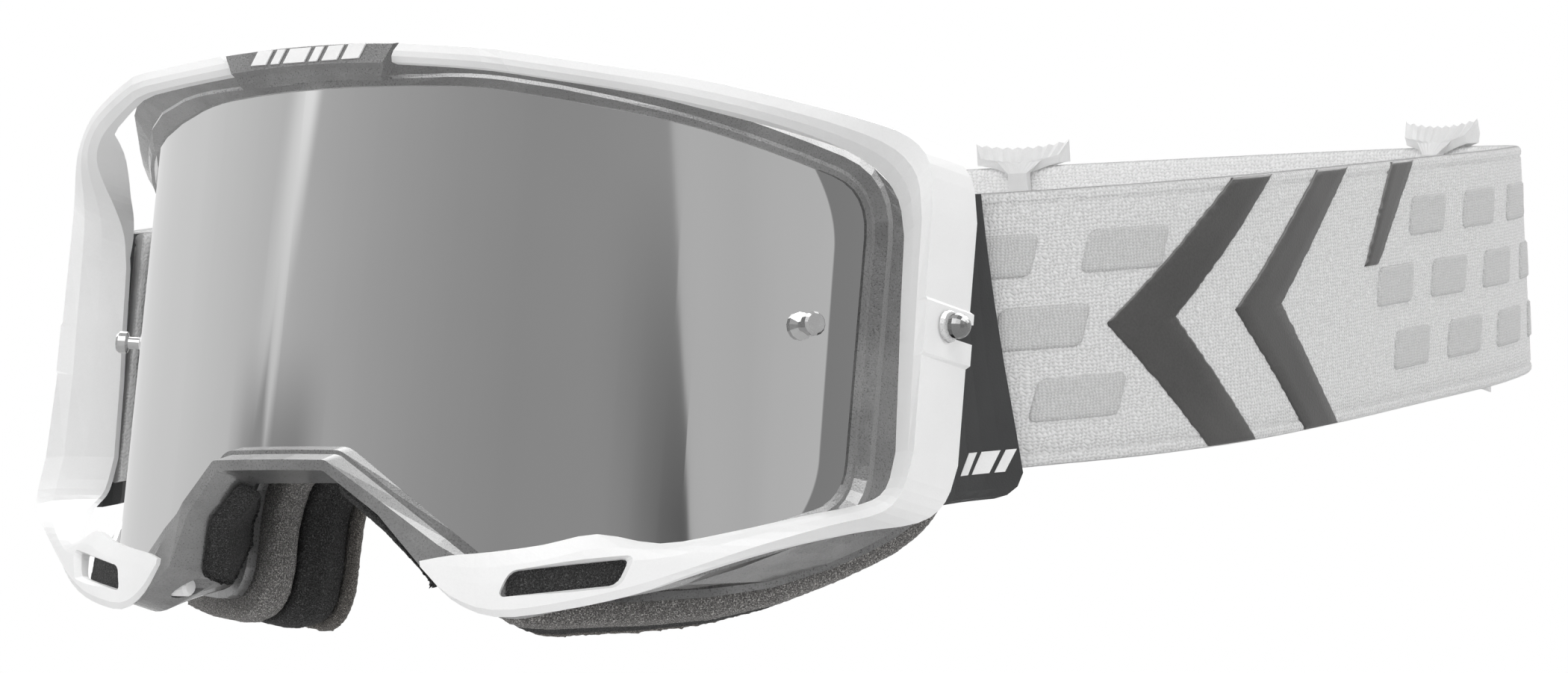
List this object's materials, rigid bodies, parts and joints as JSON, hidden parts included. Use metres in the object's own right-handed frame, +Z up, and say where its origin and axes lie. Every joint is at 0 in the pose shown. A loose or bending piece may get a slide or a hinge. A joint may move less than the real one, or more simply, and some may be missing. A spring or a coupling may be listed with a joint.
{
  "type": "motorcycle goggles",
  "caption": "Off-road motorcycle goggles: mirrored bent lens in a flexible grey frame, white outriggers, layered face foam and an elastic head strap with sliders.",
  "frame": {"origin": "middle of the face seal, level with the lens posts", "axes": "front is -Y, up is +Z, the wearer's left is +X"},
  "size_m": [0.2472, 0.2866, 0.1364],
  "materials": {
    "frame_smoke_grey": "satin, slightly see-through moulded frame",
    "lens_silver": "silver mirror coating",
    "outrigger_white": "satin white",
    "post_clear": "clear moulded",
    "pin_dark_chrome": "polished dark",
    "plate_charcoal": "matte",
    "strap_pale_grey": "knitted elastic",
    "slider_pale": "milky moulded",
    "foam_olive_grey": "open-cell foam",
    "foam_black": "open-cell foam",
    "fleece_brown_grey": "brushed fleece",
    "vent_foam_black": "open-cell vent foam"
  },
  "bodies": {
    "goggle": {"face_frame": "frame_smoke_grey", "brow_bridge": "frame_smoke_grey", "lens": "lens_silver", "lens_post_left": "post_clear", "lens_post_right": "post_clear", "outrigger_left": "outrigger_white", "outrigger_right": "outrigger_white", "cheek_peg_left": "outrigger_white", "cheek_peg_right": "outrigger_white", "foam_base": "foam_olive_grey", "foam_middle": "foam_black", "foam_fleece": "fleece_brown_grey", "brow_filter": "vent_foam_black", "cheek_filter_left": "vent_foam_black", "cheek_filter_right": "vent_foam_black", "nose_filter_left": "vent_foam_black", "nose_filter_right": "vent_foam_black"},
    "strap": {"head_strap": "strap_pale_grey", "strap_plate_left": "plate_charcoal", "strap_plate_right": "plate_charcoal", "strap_backing_left": "plate_charcoal", "strap_backing_right": "plate_charcoal", "temple_pin_left": "pin_dark_chrome", "temple_pin_right": "pin_dark_chrome", "pin_collar_left": "post_clear", "pin_collar_right": "post_clear"},
    "slider_rear": {"rear_slider": "slider_pale"},
    "slider_side": {"side_slider": "slider_pale"}
  },
  "joints": [
    {"name": "strap_swing", "type": "hinge", "parent": "goggle", "child": "strap", "pos_m": [0, -0.00753, 0.0009], "axis": [1, 0, 0], "range_deg": [-4, 4]},
    {"name": "rear_slider_travel", "type": "slide", "parent": "strap", "child": "slider_rear", "axis": [-1, 0, 0], "range_m": [-0.01, 0.01]},
    {"name": "side_slider_travel", "type": "slide", "parent": "strap", "child": "slider_side", "axis": [-0.8577, 0.4969, 0.1322], "range_m": [-0.003, 0.003]}
  ]
}
